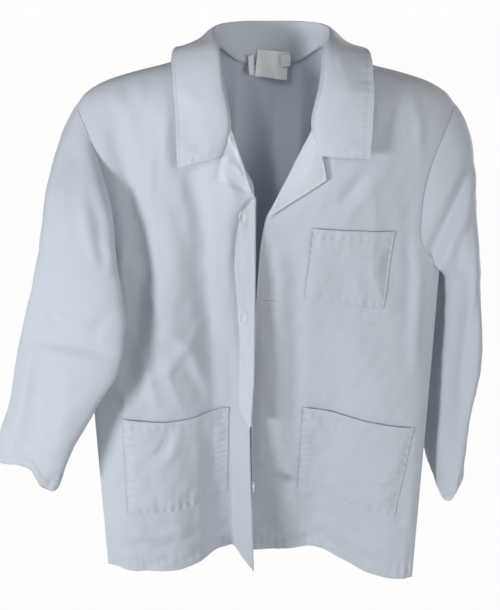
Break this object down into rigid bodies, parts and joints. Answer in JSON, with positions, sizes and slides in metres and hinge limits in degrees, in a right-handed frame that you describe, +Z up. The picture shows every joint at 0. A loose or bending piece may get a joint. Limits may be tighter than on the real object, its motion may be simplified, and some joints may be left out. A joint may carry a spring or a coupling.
{
  "type": "lab coat",
  "caption": "Jacket-length white lab coat with notched lapels, long sleeves, chest and hip patch pockets and a buttoned front, hanging open.",
  "frame": {"origin": "middle of the back neck seam, on its underside", "axes": "+Z up, +X towards the wearer's left, -Y out of the front of the coat"},
  "size_m": [0.703, 0.1461, 0.8285],
  "materials": {
    "poplin": "matte white polyester-cotton poplin",
    "facing": "matte white poplin, inner side",
    "label": "smooth woven satin tape",
    "button": "moulded white plastic",
    "thread": "white polyester thread"
  },
  "bodies": {
    "torso": {"back_panel": "poplin", "left_front_panel": "poplin", "right_front_panel": "poplin", "top_collar": "poplin", "under_collar": "poplin", "collar_stand": "poplin", "neck_label": "label", "size_tab": "label", "left_shoulder_seam": "poplin", "right_shoulder_seam": "poplin", "chest_pocket": "poplin", "left_hip_pocket": "poplin", "right_hip_pocket": "poplin", "button_4": "button", "button_thread_4": "thread", "back_neck_seam": "poplin"},
    "left_arm": {"left_sleeve": "poplin"},
    "right_arm": {"right_sleeve": "poplin"},
    "left_lapel_fold": {"left_lapel": "poplin", "left_lapel_facing": "facing"},
    "right_lapel_fold": {"right_lapel": "poplin", "right_lapel_facing": "facing"},
    "right_edge_fold": {"right_front_edge": "poplin", "right_front_facing": "facing", "button_1": "button", "button_2": "button", "button_3": "button", "button_thread_1": "thread", "button_thread_2": "thread", "button_thread_3": "thread"},
    "left_front_fold": {"left_front_edge": "poplin", "left_front_facing": "facing"}
  },
  "joints": [
    {"name": "left_sleeve_swing", "type": "hinge", "parent": "torso", "child": "left_arm", "pos_m": [0.235, -0.035, -0.0376], "axis": [0, -1, 0], "range_deg": [0, 60]},
    {"name": "right_sleeve_swing", "type": "hinge", "parent": "torso", "child": "right_arm", "pos_m": [-0.235, -0.035, -0.0376], "axis": [0, 1, 0], "range_deg": [0, 60]},
    {"name": "left_lapel_turn", "type": "hinge", "parent": "torso", "child": "left_lapel_fold", "pos_m": [0.058, -0.0873, -0.0656], "axis": [-0.4608, 0, -0.8875], "range_deg": [0, 120]},
    {"name": "right_lapel_turn", "type": "hinge", "parent": "torso", "child": "right_lapel_fold", "pos_m": [-0.045, -0.0873, -0.0656], "axis": [-0.3275, 0, 0.9448], "range_deg": [0, 85]},
    {"name": "right_edge_unfold", "type": "hinge", "parent": "torso", "child": "right_edge_fold", "pos_m": [-0.0165, -0.0914, -0.1496], "axis": [0.0146, -0.0345, 0.9993], "range_deg": [0, 150]},
    {"name": "left_front_open", "type": "hinge", "parent": "torso", "child": "left_front_fold", "pos_m": [0.008, -0.0819, -0.1836], "axis": [-0.0533, -0.1138, 0.9921], "range_deg": [0, 70]}
  ]
}
